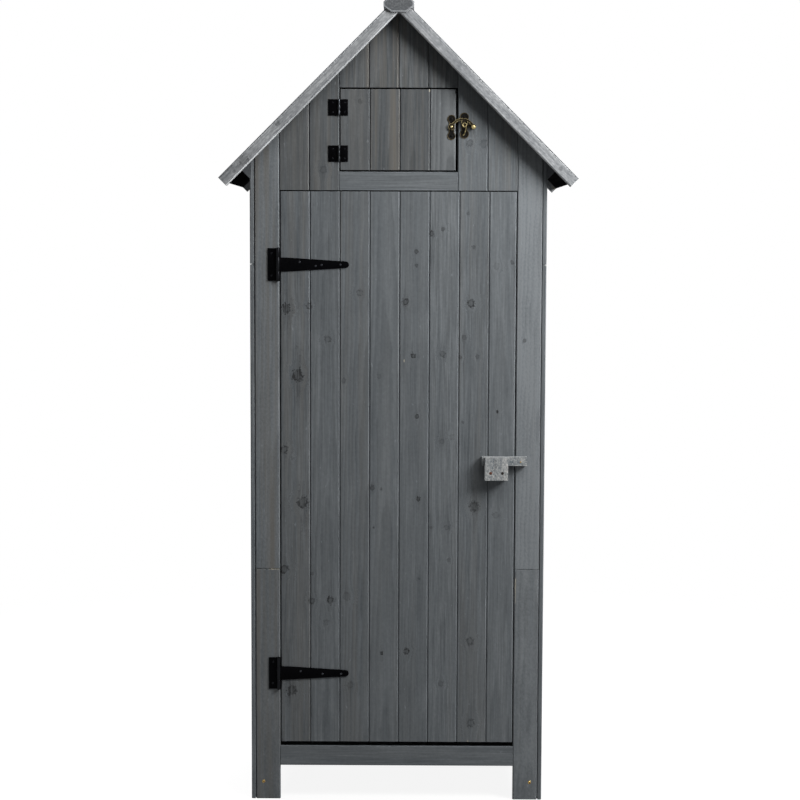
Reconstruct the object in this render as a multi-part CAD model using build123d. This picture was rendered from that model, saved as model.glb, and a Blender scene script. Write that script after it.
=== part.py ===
"""Garden shed: a narrow boarded cabinet on legs with a plank door, a gable hatch and a steep roof.

Millimetres.  X runs to the right as seen from the front, Y to the back and Z up.  The origin is on the
ground, midway across the shed and midway between the two ends of the roof.
"""
import os
from math import ceil, cos, pi, radians, sin, tan

from build123d import *

os.makedirs("parts", exist_ok=True)

# Cabinet
body_width = 660.0
body_depth = 470.0
board_thickness = 9.0
board_pitch = 66.4
leg_height = 78.2
rail_height = 44.8
stile_width = 55.5
corner_gap = 1.2
front_stile_joint = 531.0
side_stile_joint = 1216.0
leg_screw_height = 40.0
leg_screw_inset = 17.0
leg_screw_radius = 3.6
leg_screw_rise = 1.0

# Matched boards
seam = 0.6
arris = 2.0
tongue_length = 4.0
tongue_fit = 0.2
least_board_share = 0.1

# Inside timbers
post_size = 30.0
batten_thickness = 20.0
back_batten_height = 35.0
bearer_height = 30.0
floor_drop = 3.0
floor_slats = 5
shelf_count = 3
shelf_slats = 4
shelf_depth = 325.0
slat_gap = 3.0
attic_rise = 25.0

# Door
door_height = 1244.0
door_side_gap = 2.0
door_foot_gap = 10.5
door_head_gap = 2.5
stop_clearance = 0.4
stop_lap = 11.0
head_lap = 6.5
ledge_height = 60.0
ledge_thickness = 18.0
ledge_inset = 25.0
brace_height = 50.0

# Gable and hatch
lintel_height = 41.0
hatch_opening = 262.4
hatch_height = 177.5
hatch_gap = 3.5
hatch_hinge_gap = 1.5
hatch_latch_gap = 4.8
hatch_batten_height = 32.0
hatch_batten_thickness = 15.0
hatch_batten_inset = 15.0
hatch_head_lap = 6.0
gable_batten_rise = 30.0

# Roof
wall_rise = 51.3
roof_pitch = 45.0
eave_overhang = 66.3
eave_fillet_drop = 51.2
verge_overhang = 35.0
verge_width = 25.6
verge_thickness = 12.0
verge_arris = 2.6
felt_thickness = 2.0
rafter_depth = 30.0
wall_plate_height = 35.0
ridge_beam_width = 67.0
ridge_beam_height = 37.0
ridge_beam_reach = 5.0
ridge_foot_bevel = 17.0
ridge_foot_rise = 12.5
ridge_top_bevel = 15.0

# Hinges
strap_inset_low = 158.0
strap_inset_high = 162.0
strap_length = 158.0
strap_root = 31.0
strap_root_length = 18.0
strap_tip = 14.4
tee_leaf_height = 72.5
tee_leaf_reach = 22.5
tee_axis_offset = 3.0
tee_barrel = 4.0
tee_pin = 2.0
tee_plate = 2.0
butt_leaf_height = 36.0
butt_leaf_reach = 24.0
butt_flap_reach = 19.7
butt_knuckle = 12.0
butt_axis_offset = 0.4
butt_barrel = 2.5
butt_pin = 1.2
butt_plate = 1.2
butt_inset_low = 36.05
butt_inset_high = 40.25
hinge_standoff = 0.4
hinge_relief = 0.3
knuckle_gap = 0.3
roll_gap = 0.8
pin_fit = 0.05
pin_head_height = 1.2
pin_head_share = 0.75

# Latch bolt
bolt_section = 19.6
bolt_thickness = 16.0
bolt_length = 101.0
bolt_throw = 18.0
bolt_over_stile = 25.3
bolt_height = 644.8
bolt_play = 1.0
bolt_foot_play = 0.4
latch_block_width = 52.0
latch_block_drop = 32.3
latch_block_depth = 30.0
latch_block_edge = 15.8
stud_inset = 11.2
stud_radius = 2.0
stud_head_radius = 3.8
stud_head_height = 2.4
stud_head_gap = 0.6
keyhole_radius = 5.2
keyhole_slot = 5.2
keyhole_depth = 9.0

# Hook clasp
clasp_height = 95.3
clasp_edge = 9.6
clasp_plate = 1.2
clasp_spacing = 37.0
clasp_drop = 1.0
clasp_waist_share = 0.65
hook_plate_width = 18.0
catch_plate_width = 20.0
catch_radius = 3.0
catch_height = 8.5
catch_fit = 0.4
rivet_radius = 2.4
rivet_head_radius = 3.8
rivet_head_height = 1.6
hook_play = 0.3
hook_reach = 48.4
hook_rise = 16.5
hook_band = 5.0
hook_boss = 7.2
hook_standoff = 0.4
hook_stud_reach = 28.4
hook_stud_rise = 4.0
hook_lug_rise = 5.5
hook_mouth = 6.0
hook_mouth_depth = 9.0
hook_thickness = 3.0
hook_knob = 6.0
hook_knob_flats = 6

# Spare length of a cutting shape beyond what it cuts
spare = 5.0

half_body = body_width / 2
front_y = -body_depth / 2
back_y = body_depth / 2
inner_x = half_body - board_thickness
inner_front = front_y + board_thickness
inner_back = back_y - board_thickness
half_front = inner_x - corner_gap
half_opening = half_front - stile_width
half_door = half_opening - door_side_gap
leaf_thickness = board_thickness - stop_clearance

slope_sin = sin(radians(roof_pitch))
slope_cos = cos(radians(roof_pitch))
slope_tan = tan(radians(roof_pitch))
rail_top = leg_height + rail_height
door_foot = rail_top + door_foot_gap
door_head = door_foot + door_height
lintel_foot = door_head + door_head_gap
lintel_top = lintel_foot + lintel_height
hatch_foot = lintel_top + hatch_gap
hatch_head = hatch_foot + hatch_height
gable_foot = hatch_head + hatch_gap
ridge_z = lintel_top + wall_rise + half_body * slope_tan
half_hatch = hatch_opening / 2
floor_z = rail_top - board_thickness - floor_drop
floor_top = floor_z + board_thickness
attic_z = lintel_foot + attic_rise

half_roof = half_body + eave_overhang
roof_end = back_y + verge_overhang
deck_depth = felt_thickness + board_thickness
deck_end = roof_end - verge_thickness
deck_run = half_roof / slope_cos
eave_z = ridge_z - half_roof * slope_tan
beam_foot = ridge_z - ridge_beam_height
post_inner = inner_x - post_size
post_front = inner_front + post_size
post_back = inner_back - post_size
front_back = inner_front + batten_thickness
back_front = inner_back - batten_thickness


def block(x0, x1, y0, y1, z0, z1):
    """A square-edged timber between six limits."""
    return Pos((x0 + x1) / 2, (y0 + y1) / 2, (z0 + z1) / 2) * Box(x1 - x0, y1 - y0, z1 - z0)


def from_front(points, y0, y1):
    """An outline in X and Z, as seen from the front, filled from y0 back to y1."""
    pairs = zip(points, points[1:] + points[:1])
    turn = sum(a[0] * b[1] - b[0] * a[1] for a, b in pairs)
    ring = points if turn > 0 else points[::-1]
    return Pos(0, y1, 0) * extrude(Plane.XZ * Polygon(*ring), amount=y1 - y0)


def peg(x, z, radius, y0, y1):
    """A round bar lying front to back."""
    return Pos(x, (y0 + y1) / 2, z) * Rot(90, 0, 0) * Cylinder(radius, y1 - y0)


def board_outline(width, thickness, tongue, groove):
    """Section of a matched board: bevelled face at v = 0, groove on the left, tongue on the right."""
    low = thickness / 3
    high = thickness * 2 / 3
    ring = [(arris, 0), (width - arris, 0), (width, arris)]
    if tongue:
        ring += [(width, low), (width + tongue_length, low), (width + tongue_length, high), (width, high)]
    ring += [(width, thickness), (0, thickness)]
    if groove:
        ring += [(0, high + tongue_fit), (tongue_length, high + tongue_fit)]
        ring += [(tongue_length, low - tongue_fit), (0, low - tongue_fit)]
    return ring + [(0, arris)]


def board(u0, u1, z0, z1, thickness=board_thickness, tongue=False, groove=False):
    """One upright board from u0 to u1 along its wall, face towards -Y."""
    ring = board_outline(u1 - u0, thickness, tongue, groove)
    return Pos(u0, 0, z0) * extrude(Polygon(*ring), amount=z1 - z0)


def run_edges(u0, u1, pitch):
    """Left and right edges of each board in a run, the last board ripped to what is left."""
    count = max(1, ceil((u1 - u0) / pitch - least_board_share))
    lefts = [u0 + k * pitch for k in range(count)]
    rights = [left + pitch - seam for left in lefts[:-1]] + [u1]
    return list(zip(lefts, rights))


def boarding(u0, u1, z0, z1, pitch, thickness=board_thickness):
    """A run of matched boards filling a wall from u0 to u1."""
    edges = run_edges(u0, u1, pitch)
    last = len(edges) - 1
    return [board(a, b, z0, z1, thickness, k < last, k > 0) for k, (a, b) in enumerate(edges)]


def even_pitch(span):
    """Board pitch near the usual one that fills the span with equal boards."""
    return span / max(1, round(span / board_pitch))


def roof_z(x, depth):
    """Height of the plane that lies the given depth below the roof surface."""
    return ridge_z - abs(x) * slope_tan - depth / slope_cos


def eave_point(side, along, depth):
    """A point on a roof slope: distance up from the eave and depth below the surface."""
    x = half_roof - along * slope_cos - depth * slope_sin
    return side * x, eave_z + along * slope_sin - depth * slope_cos


def roof_layer(side, outer, inner, y0, y1):
    """A layer of one roof slope between two depths, running from the square-cut eave to the middle."""
    ring = [eave_point(side, 0, outer), eave_point(side, 0, inner)]
    ring += [(0, roof_z(0, inner)), (0, roof_z(0, outer))]
    return from_front(ring, y0, y1)


def space_below(depth):
    """Everything under a plane of the roof and under the ridge beam."""
    far = half_body + spare
    knee = (roof_z(0, depth) - beam_foot) / slope_tan
    flat = [(knee, beam_foot), (-knee, beam_foot)] if knee > 0 else [(0, roof_z(0, depth))]
    ring = [(-far, -spare), (far, -spare), (far, roof_z(far, depth))] + flat + [(-far, roof_z(far, depth))]
    return from_front(ring, -body_depth, body_depth)


def cut_to(parts, space):
    """Each timber trimmed to the space it has."""
    return [(part & space).solids()[0] for part in parts]


below_deck = space_below(deck_depth)
below_rafters = space_below(deck_depth + rafter_depth)
walls = {
    "front": Pos(0, front_y, 0),
    "back": Location((0, back_y, 0), (0, 0, 180)),
    "left": Location((-half_body, 0, 0), (0, 0, -90)),
    "right": Location((half_body, 0, 0), (0, 0, 90)),
}
nodes = {}


def on_wall(name, parts):
    """Parts drawn in a wall's own plane, put in place on that wall."""
    return [walls[name] * part for part in parts]


# Front frame: stiles in two lengths, the bottom rail, the lintel and the gable boards round the hatch.
# The latch stud goes through the right upper stile.
latch_z = door_foot + bolt_height
stud_x = half_opening + stud_inset
stud_hole = peg(stud_x, latch_z, stud_radius + pin_fit, front_y - spare, inner_front + spare)
for side, u0 in (("left", -half_front), ("right", half_opening)):
    lower = board(u0, u0 + stile_width, 0, front_stile_joint - seam)
    upper = board(u0, u0 + stile_width, front_stile_joint + seam, ridge_z)
    nodes[f"front_stile_{side}_lower"] = on_wall("front", [lower])
    nodes[f"front_stile_{side}_upper"] = cut_to(on_wall("front", [upper]), below_deck)
nodes["front_stile_right_upper"] = [nodes["front_stile_right_upper"][0] - stud_hole]
nodes["front_bottom_rail"] = [block(-half_opening, half_opening, front_y, inner_front, leg_height, rail_top)]
nodes["lintel"] = [block(-half_hatch, half_hatch, front_y, inner_front, lintel_foot, lintel_top)]
beside = even_pitch(half_opening - half_hatch)
left_gable = boarding(-half_opening, -half_hatch, lintel_foot, ridge_z, beside)
right_gable = boarding(half_hatch, half_opening, lintel_foot, ridge_z, beside)
top_gable = boarding(-half_hatch, half_hatch, gable_foot, ridge_z, even_pitch(hatch_opening))
nodes["gable_boards_left"] = cut_to(on_wall("front", left_gable), below_deck)
nodes["gable_boards_right"] = cut_to(on_wall("front", right_gable), below_deck)
nodes["gable_boards_top"] = cut_to(on_wall("front", top_gable), below_deck)

# Side and back walls: boards between two stiles, over a bottom rail
rails = []
for name, half, joint in (
    ("left", body_depth / 2, side_stile_joint),
    ("right", body_depth / 2, side_stile_joint),
    ("back", half_front, front_stile_joint),
):
    inside = half - stile_width
    stiles = []
    for u0 in (-half, inside):
        stiles.append(board(u0, u0 + stile_width, 0, joint - seam))
        stiles.append(board(u0, u0 + stile_width, joint + seam, ridge_z))
    field = boarding(-inside, inside, rail_top, ridge_z, even_pitch(2 * inside))
    rail = board(-inside, inside, leg_height, rail_top)
    nodes[f"{name}_wall_stiles"] = cut_to(on_wall(name, stiles), below_deck)
    nodes[f"{name}_wall_boards"] = cut_to(on_wall(name, field), below_deck)
    rails += on_wall(name, [rail])
nodes["wall_rails"] = rails

# Inner frame: corner posts, door stops and the battens across the front and the back
posts = []
for x0 in (-inner_x, post_inner):
    for y0 in (inner_front, post_back):
        posts.append(block(x0, x0 + post_size, y0, y0 + post_size, 0, ridge_z))
nodes["corner_posts"] = cut_to(posts, below_rafters)
head_stop = door_head - head_lap
stop_inner = half_door - stop_lap
nodes["door_stops"] = [
    block(-post_inner, -stop_inner, inner_front, front_back, floor_top, head_stop),
    block(stop_inner, post_inner, inner_front, front_back, floor_top, head_stop),
]
nodes["lintel_batten"] = [block(-post_inner, post_inner, inner_front, front_back, head_stop, attic_z)]
batten_foot = hatch_head - hatch_head_lap
batten_top = gable_foot + gable_batten_rise
gable_batten = block(-half_body, half_body, inner_front, front_back, batten_foot, batten_top)
nodes["gable_batten"] = cut_to([gable_batten], below_rafters)
middle = (floor_top + attic_z - back_batten_height) / 2
nodes["back_battens"] = [
    block(-post_inner, post_inner, back_front, inner_back, z, z + back_batten_height)
    for z in (middle, attic_z - back_batten_height)
]


def slatted(z, y0, count):
    """Slats between the side walls from y0 back to the rear posts."""
    pitch = (post_back - y0) / count
    rows = [y0 + k * pitch for k in range(count)]
    return [block(-inner_x, inner_x, y, y + pitch - slat_gap, z, z + board_thickness) for y in rows]


def between_posts(z, y0, y1):
    """The narrow board that fills the floor between a pair of posts."""
    return block(-post_inner, post_inner, y0, y1, z, z + board_thickness)


def cleats(z, y0):
    """A cleat on each side wall under a row of slats."""
    left = block(-inner_x, -inner_x + batten_thickness, y0, post_back, z - batten_thickness, z)
    return [left, mirror(left, about=Plane.YZ)]


# Floor, three shelves and the attic floor, each on its own bearers
bearers = cleats(floor_z, post_front)
for y0, y1 in ((inner_front, front_back), (back_front, inner_back)):
    bearers.append(block(-post_inner, post_inner, y0, y1, floor_z - bearer_height, floor_z))
nodes["floor_bearers"] = bearers
floor = slatted(floor_z, post_front, floor_slats)
floor.append(between_posts(floor_z, inner_front, post_front - slat_gap))
floor.append(between_posts(floor_z, post_back, inner_back))
nodes["floor_boards"] = floor
shelf_step = (attic_z - floor_top) / (shelf_count + 1)
shelf_front = post_back - shelf_depth
shelf_cleats = []
for k in range(shelf_count):
    shelf_z = floor_top + (k + 1) * shelf_step
    nodes[f"shelf_{k + 1}"] = slatted(shelf_z, shelf_front, shelf_slats)
    shelf_cleats += cleats(shelf_z, shelf_front)
nodes["shelf_cleats"] = shelf_cleats + cleats(attic_z, post_front)
attic = slatted(attic_z, post_front, floor_slats)
nodes["attic_floor"] = attic + [between_posts(attic_z, inner_front, post_front - slat_gap)]

# Ridge beam: an eight-sided bar, its lower bevels resting on the roof slopes
half_beam = ridge_beam_width / 2
beam_ring = [
    (half_beam - ridge_foot_bevel, beam_foot),
    (half_beam, beam_foot + ridge_foot_rise),
    (half_beam, ridge_z - ridge_top_bevel),
    (half_beam - ridge_top_bevel, ridge_z),
]
beam_ring += [(-x, z) for x, z in reversed(beam_ring)]
beam_end = roof_end + ridge_beam_reach
ridge_beam = from_front(beam_ring, -beam_end, beam_end)
nodes["ridge_beam"] = [ridge_beam]

# Roof slopes: boards along the roof and felt over them
for side, name in ((-1, "left"), (1, "right")):
    slope = (roof_layer(side, felt_thickness, deck_depth, -deck_end, deck_end) - ridge_beam).solids()[0]
    deck = []
    for low, high in run_edges(0, deck_run, board_pitch):
        corners = ((low, -spare), (low, deck_depth + spare), (high, deck_depth + spare), (high, -spare))
        ring = [eave_point(side, along, depth) for along, depth in corners]
        rest = slope & from_front(ring, -roof_end, roof_end)
        deck += rest.solids() if rest else []
    nodes[f"roof_boards_{name}"] = deck
    felt = roof_layer(side, 0, felt_thickness, -roof_end, roof_end) - ridge_beam
    nodes[f"roof_felt_{name}"] = [felt.solids().sort_by(SortBy.VOLUME)[-1]]

# Verge boards: a bevelled section run up each slope and cut at the middle and round the ridge beam
verge_section = [(-roof_end, felt_thickness), (-deck_end, felt_thickness), (-deck_end, verge_width)]
verge_section += [(-roof_end + verge_arris, verge_width), (-roof_end, verge_width - verge_arris)]
up_slope = Plane((half_roof, 0, eave_z), x_dir=(0, 1, 0), z_dir=(-slope_cos, 0, slope_sin))
verge = extrude(up_slope * Polygon(*verge_section), amount=deck_run)
verge = (verge & block(0, body_width, -body_depth, 0, 0, ridge_z)) - ridge_beam
front_verge = verge.solids().sort_by(SortBy.VOLUME)[-1]
back_verge = mirror(front_verge, about=Plane.XZ)
nodes["verge_board_front_right"] = [front_verge]
nodes["verge_board_front_left"] = [mirror(front_verge, about=Plane.YZ)]
nodes["verge_board_back_right"] = [back_verge]
nodes["verge_board_back_left"] = [mirror(back_verge, about=Plane.YZ)]

# Under the roof: a rafter at each gable, a plate on each side wall and a three-cornered fillet outside it
rafters = []
for side in (-1, 1):
    rib = roof_layer(side, deck_depth, deck_depth + rafter_depth, inner_front, front_back)
    rib = (rib & below_deck & block(-inner_x, inner_x, front_y, back_y, 0, ridge_z)).solids()[0]
    rafters += [rib, mirror(rib, about=Plane.XZ)]
nodes["rafters"] = rafters
plate_foot = roof_z(inner_x, deck_depth) - wall_plate_height
plates = []
for x0 in (-inner_x, inner_x - batten_thickness):
    plates.append(block(x0, x0 + batten_thickness, post_front, post_back, plate_foot, ridge_z))
nodes["wall_plates"] = cut_to(plates, below_deck)
wall_head = roof_z(half_body, deck_depth)
fillet_foot = wall_head - eave_fillet_drop
fillet_leg = eave_fillet_drop * slope_cos
fillet_ring = [(half_body, wall_head), (half_body, fillet_foot)]
fillet_ring.append((half_body + fillet_leg * slope_sin, fillet_foot + fillet_leg * slope_cos))
right_fillet = from_front(fillet_ring, front_y, back_y)
nodes["eave_fillets"] = [right_fillet, mirror(right_fillet, about=Plane.YZ)]


def upright(axis_x, axis_y, radius, z0, z1):
    """A round bar standing upright, such as a hinge pin or a rolled knuckle."""
    return Pos(axis_x, axis_y, (z0 + z1) / 2) * Cylinder(radius, z1 - z0)


def hinge(axis_x, z_mid, swinging, reach, height, knuckle, barrel, pin, plate):
    """Fixed leaf, swinging leaf and pin of a hinge whose upright axis stands before the wall.

    The swinging leaf has the middle knuckle and the fixed leaf one above and one below it.  The pin's ends
    are flush with the knuckles.
    """
    axis_y = front_y - barrel - hinge_standoff
    foot = z_mid - height / 2
    top = z_mid + height / 2
    low = z_mid - knuckle / 2
    high = z_mid + knuckle / 2
    bore = upright(axis_x, axis_y, pin + pin_fit, foot - spare, top + spare)
    fixed = block(axis_x - reach, axis_x, front_y - plate, front_y, foot, top)
    roll = axis_x - barrel - roll_gap
    gap_low = low - knuckle_gap
    gap_high = high + knuckle_gap
    fixed -= block(roll, axis_x + spare, front_y - spare, front_y + spare, gap_low, gap_high)
    fixed += upright(axis_x, axis_y, barrel, foot, gap_low)
    fixed += upright(axis_x, axis_y, barrel, gap_high, top)
    relief = block(roll - spare, axis_x + barrel, front_y - hinge_relief, front_y + spare, foot, top)
    moving = swinging - relief + upright(axis_x, axis_y, barrel, low, high)
    rod = upright(axis_x, axis_y, pin, foot, top)
    return (fixed - bore).solids()[0], (moving - bore).solids()[0], rod


# Door: matched boards on three ledges with two braces between them
door_boards = boarding(-half_door, half_door, door_foot, door_head, board_pitch, leaf_thickness)
nodes["door_boards"] = on_wall("front", door_boards)
door_back = front_y + leaf_thickness
ledge_back = door_back + ledge_thickness
half_ledge = half_door - ledge_inset
low_strap = door_foot + strap_inset_low
high_strap = door_head - strap_inset_high
ledge_mids = [low_strap, (low_strap + high_strap) / 2, high_strap]
nodes["door_ledges"] = [
    block(-half_ledge, half_ledge, door_back, ledge_back, z - ledge_height / 2, z + ledge_height / 2)
    for z in ledge_mids
]
braces = []
for low, high in zip(ledge_mids, ledge_mids[1:]):
    foot = low + ledge_height / 2
    head = high - ledge_height / 2
    ring = [(-half_ledge, foot), (-half_ledge + brace_height, foot)]
    ring += [(half_ledge, head), (half_ledge - brace_height, head)]
    braces.append(from_front(ring, door_back, ledge_back))
nodes["door_braces"] = braces

# T-hinges: a strap that tapers to a round end on the door, a tall leaf on the stile, a pin with riveted ends
tee_axis = -half_opening - tee_axis_offset
tee_axis_y = front_y - tee_barrel - hinge_standoff
tee_face = front_y - tee_plate
tee_head = tee_barrel * pin_head_share
half_leaf = tee_leaf_height / 2
half_root = strap_root / 2
half_tip = strap_tip / 2
root_start = tee_axis + roll_gap
root_end = tee_axis + strap_root_length
tip_x = tee_axis + strap_length - half_tip
tee_pins = []
for name, z in (("lower", low_strap), ("upper", high_strap)):
    ring = [(root_start, z - half_root), (root_end, z - half_root), (tip_x, z - half_tip)]
    ring += [(tip_x, z + half_tip), (root_end, z + half_root), (root_start, z + half_root)]
    strap = from_front(ring, tee_face, front_y) + peg(tip_x, z, half_tip, tee_face, front_y)
    leaf, strap, pin = hinge(
        tee_axis, z, strap, tee_leaf_reach, tee_leaf_height, strap_root, tee_barrel, tee_pin, tee_plate
    )
    nodes[f"tee_hinge_leaf_{name}"] = [leaf]
    nodes[f"tee_hinge_strap_{name}"] = [strap]
    for end in (z - half_leaf - pin_head_height, z + half_leaf):
        pin += upright(tee_axis, tee_axis_y, tee_head, end, end + pin_head_height)
    tee_pins.append(pin.solids()[0])
nodes["tee_hinge_pins"] = tee_pins

# Latch: a bolt that slides behind the lip of a block on the door.  The blind keyhole in its back has a round
# mouth that lets the head of the stud in the stile through, and one throw further its undercut slot holds it.
bolt_foot = latch_z - bolt_section / 2
bolt_top = latch_z + bolt_section / 2
bolt_right = half_opening + bolt_over_stile
bolt_left = bolt_right - bolt_length
bolt_back = front_y - bolt_play
bolt_front = bolt_back - bolt_thickness
block_front = front_y - latch_block_depth
block_foot = bolt_foot - latch_block_drop
block_right = half_door - latch_block_edge
block_left = block_right - latch_block_width
latch_block = block(block_left, block_right, block_front, front_y, block_foot, bolt_top)
channel_front = bolt_front - bolt_play
channel_foot = bolt_foot - bolt_foot_play
channel = block(block_left, block_right, channel_front, front_y, channel_foot, bolt_top)
nodes["latch_block"] = [latch_block - channel]
bolt = block(bolt_left, bolt_right, bolt_front, bolt_back, bolt_foot, bolt_top)
lock_x = stud_x - bolt_throw
half_slot = keyhole_slot / 2
keyhole_end = bolt_back - keyhole_depth
head_front = keyhole_end + stud_head_gap
head_back = head_front + stud_head_height
undercut = head_back + stud_head_gap
keyhole = peg(stud_x, latch_z, keyhole_radius, keyhole_end, bolt_back)
for half, y0, y1 in ((keyhole_radius, keyhole_end, undercut), (half_slot, undercut, bolt_back)):
    keyhole += peg(lock_x, latch_z, half, y0, y1)
    keyhole += block(lock_x, stud_x, y0, y1, latch_z - half, latch_z + half)
nodes["latch_bolt"] = [(bolt - keyhole).solids()[0]]
stud = peg(stud_x, latch_z, stud_radius, head_back, inner_front)
stud += peg(stud_x, latch_z, stud_head_radius, head_front, head_back)
nodes["latch_stud"] = [stud.solids()[0]]

# Hatch: matched boards on two battens, hung on two butt hinges
hatch_left = -half_hatch + hatch_hinge_gap
hatch_right = half_hatch - hatch_latch_gap
hatch_boards = boarding(hatch_left, hatch_right, hatch_foot, hatch_head, board_pitch, leaf_thickness)
nodes["hatch_boards"] = on_wall("front", hatch_boards)
butt_mids = [hatch_foot + butt_inset_low, hatch_head - butt_inset_high]
half_batten = hatch_batten_height / 2
batten_left = hatch_left + hatch_batten_inset
batten_right = hatch_right - hatch_batten_inset
batten_back = door_back + hatch_batten_thickness
nodes["hatch_battens"] = [
    block(batten_left, batten_right, door_back, batten_back, z - half_batten, z + half_batten)
    for z in butt_mids
]
butt_axis = -half_hatch - butt_axis_offset
butt_face = front_y - butt_plate
flap_root = butt_axis + butt_barrel + roll_gap
flap_tip = butt_axis + butt_flap_reach
half_butt = butt_leaf_height / 2
half_knuckle = butt_knuckle / 2
butts = []
for z in butt_mids:
    flap = block(flap_root, flap_tip, butt_face, front_y, z - half_butt, z + half_butt)
    flap += block(butt_axis, flap_root, butt_face, front_y, z - half_knuckle, z + half_knuckle)
    parts = hinge(
        butt_axis, z, flap, butt_leaf_reach, butt_leaf_height, butt_knuckle, butt_barrel, butt_pin, butt_plate
    )
    butts.append(parts)
for k, name in enumerate(("hatch_hinge_leaves", "hatch_hinge_flaps", "hatch_hinge_pins")):
    nodes[name] = [parts[k] for parts in butts]

# Hook clasp: a plate on the hatch carries the hook on a rivet, a plate on the gable has the stud for it
pivot_x = hatch_right - clasp_edge
pivot_z = hatch_foot + clasp_height
catch_x = pivot_x + hook_stud_reach
catch_z = pivot_z + hook_stud_rise
clasp_face = front_y - clasp_plate
hook_back = clasp_face - hook_standoff
hook_front = hook_back - hook_thickness


def clasp_base(x, z, width):
    """A plate with two round screw lugs and a narrow waist."""
    waist = width * clasp_waist_share / 2
    low = z - clasp_spacing / 2
    high = z + clasp_spacing / 2
    plate = block(x - waist, x + waist, clasp_face, front_y, low, high)
    for lug_z in (low, high):
        plate += peg(x, lug_z, width / 2, clasp_face, front_y)
    return plate


rivet_neck = hook_front - hook_play
hook_plate = clasp_base(pivot_x, pivot_z - clasp_drop, hook_plate_width)
hook_plate += peg(pivot_x, pivot_z, rivet_radius, rivet_neck, clasp_face)
hook_plate += peg(pivot_x, pivot_z, rivet_head_radius, rivet_neck - rivet_head_height, rivet_neck)
nodes["hook_plate"] = [hook_plate.solids()[0]]
hook_catch = clasp_base(catch_x, catch_z - clasp_drop, catch_plate_width)
hook_catch += peg(catch_x, catch_z, catch_radius, front_y - catch_height, clasp_face)
nodes["hook_catch"] = [hook_catch.solids()[0]]

# The hook: a boss on the rivet, a curved arm, a notched lug that drops over the stud and a turned knob
arm_radius = (hook_reach**2 / 4 + hook_rise**2) / (2 * hook_rise)
arm_x = pivot_x + hook_reach / 2
arm_z = pivot_z + hook_rise - arm_radius
arm_end = pivot_x + hook_reach
arm = peg(arm_x, arm_z, arm_radius + hook_band / 2, hook_front, hook_back)
arm -= peg(arm_x, arm_z, arm_radius - hook_band / 2, hook_front, hook_back)
arm &= block(pivot_x - hook_boss, arm_end + hook_boss, hook_front, hook_back, pivot_z, pivot_z + hook_reach)
notch = catch_radius + catch_fit
hook = arm + peg(pivot_x, pivot_z, hook_boss, hook_front, hook_back)
hook += peg(catch_x, catch_z + hook_lug_rise, hook_boss, hook_front, hook_back)
hook -= peg(catch_x, catch_z, notch, hook_front, hook_back)
mouth_foot = catch_z - hook_mouth_depth
hook -= block(catch_x - notch, catch_x + hook_mouth, hook_front, hook_back, mouth_foot, catch_z)
hook -= peg(pivot_x, pivot_z, rivet_radius + pin_fit, hook_front, hook_back)
flat_angles = [pi * k / hook_knob_flats for k in range(hook_knob_flats + 1)]
knob_ring = [(hook_knob * sin(angle), -hook_knob * cos(angle)) for angle in flat_angles]
knob = revolve(Plane.XZ * Polygon(*knob_ring), axis=Axis.Z)
hook += Pos(arm_end, hook_back - hook_knob, pivot_z) * Rot(90, 0, 0) * knob
nodes["hook"] = [hook.solids().sort_by(SortBy.VOLUME)[-1]]

# Screws in the feet of the front stiles
leg_screw_x = half_front - leg_screw_inset
nodes["leg_screws"] = [
    peg(x, leg_screw_height, leg_screw_radius, front_y - leg_screw_rise, front_y)
    for x in (-leg_screw_x, leg_screw_x)
]

for name, solids in nodes.items():
    shape = solids[0] if len(solids) == 1 else Compound(solids)
    export_step(shape, f"parts/{name}.step")
print(len(nodes), "nodes")
print("door axis", tee_axis, tee_axis_y)
print("hatch axis", butt_axis, front_y - butt_barrel - hinge_standoff, sum(butt_mids) / 2)
print("hook pivot", pivot_x, hook_back, pivot_z, "bolt", bolt_left, bolt_front, latch_z)
print("levels", door_foot, door_head, hatch_foot, hatch_head, ridge_z, floor_top, attic_z, shelf_step)
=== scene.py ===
"""Garden shed: the looks of a narrow, grey-stained plank shed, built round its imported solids."""
import math
import random

import bmesh
import bpy
from mathutils import Matrix, Vector


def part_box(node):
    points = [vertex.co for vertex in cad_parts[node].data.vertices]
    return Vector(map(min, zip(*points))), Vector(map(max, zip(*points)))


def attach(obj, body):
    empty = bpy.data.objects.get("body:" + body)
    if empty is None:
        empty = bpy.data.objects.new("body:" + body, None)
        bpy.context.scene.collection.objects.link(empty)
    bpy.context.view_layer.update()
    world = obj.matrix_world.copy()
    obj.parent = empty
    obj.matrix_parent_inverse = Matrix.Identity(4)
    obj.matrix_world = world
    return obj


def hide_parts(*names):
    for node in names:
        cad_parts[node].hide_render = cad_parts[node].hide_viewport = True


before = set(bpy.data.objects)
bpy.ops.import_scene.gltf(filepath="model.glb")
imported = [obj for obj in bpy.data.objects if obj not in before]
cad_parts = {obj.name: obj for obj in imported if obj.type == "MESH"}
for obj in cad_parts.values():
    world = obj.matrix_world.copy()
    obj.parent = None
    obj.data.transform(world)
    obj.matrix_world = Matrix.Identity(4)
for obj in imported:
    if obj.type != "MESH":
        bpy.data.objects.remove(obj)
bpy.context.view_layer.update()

# Corner posts, door stops and cross battens: planed fir, nailed behind the boards.  All the timber
# was dipped in a thin grey stain after planing, so grain, knots and sawn ends show through.  The
# stops and battens behind the gaps of the door and the hatch are painted almost black as painted
# shade, so that the gaps read dark.
upright, sideways, frontward, backward = (0, 0, 1), (1, 0, 0), (0, -1, 0), (0, 1, 0)


def linear(code):
    """An sRGB hex colour as linear RGBA."""
    parts = [int(code[k:k + 2], 16) / 255 for k in (1, 3, 5)]
    return [c / 12.92 if c <= 0.04045 else ((c + 0.055) / 1.055) ** 2.4 for c in parts] + [1.0]


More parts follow.
